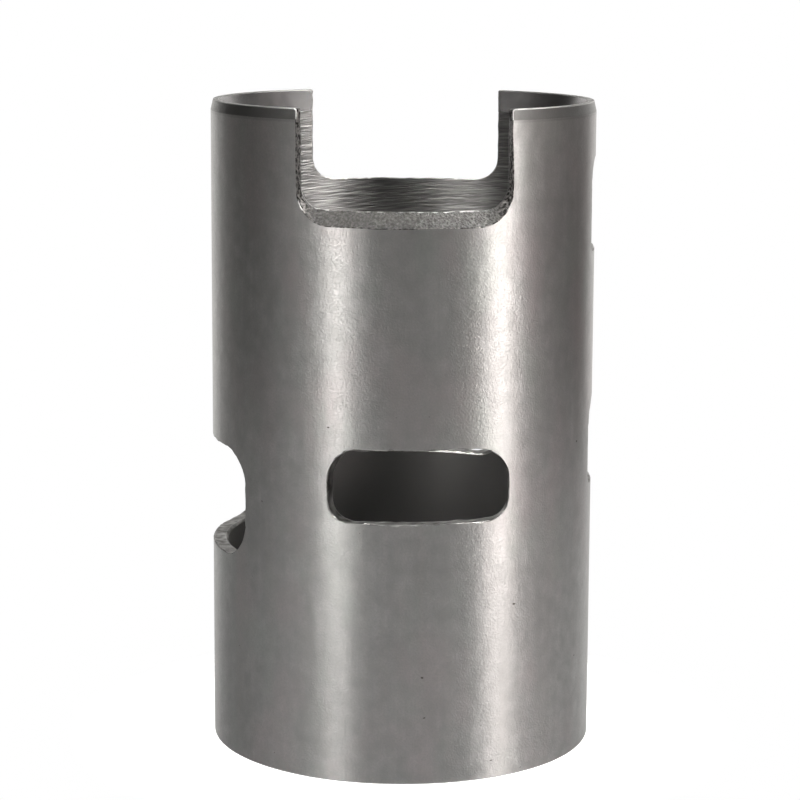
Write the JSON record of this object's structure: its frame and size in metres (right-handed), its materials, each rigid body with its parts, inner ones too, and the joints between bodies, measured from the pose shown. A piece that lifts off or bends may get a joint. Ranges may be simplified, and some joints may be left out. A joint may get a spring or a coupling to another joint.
{
  "type": "cylinder liner",
  "caption": "Ported cast-iron cylinder liner: a ground and honed tube with exhaust, transfer and boost ports through its wall and a notched skirt end.",
  "frame": {"origin": "centre of the head-end face, where the axis of the bore meets the surface that the liner stands on", "axes": "+Z along the bore, from the head end to the skirt end; -X towards the exhaust window, +X towards the boost port, -Y and +Y towards the transfer ports and the skirt notches"},
  "size_m": [0.0826, 0.0826, 0.139],
  "materials": {
    "cast_iron": "satin"
  },
  "bodies": {
    "root": {"cylinder_liner": "cast_iron"}
  },
  "joints": []
}
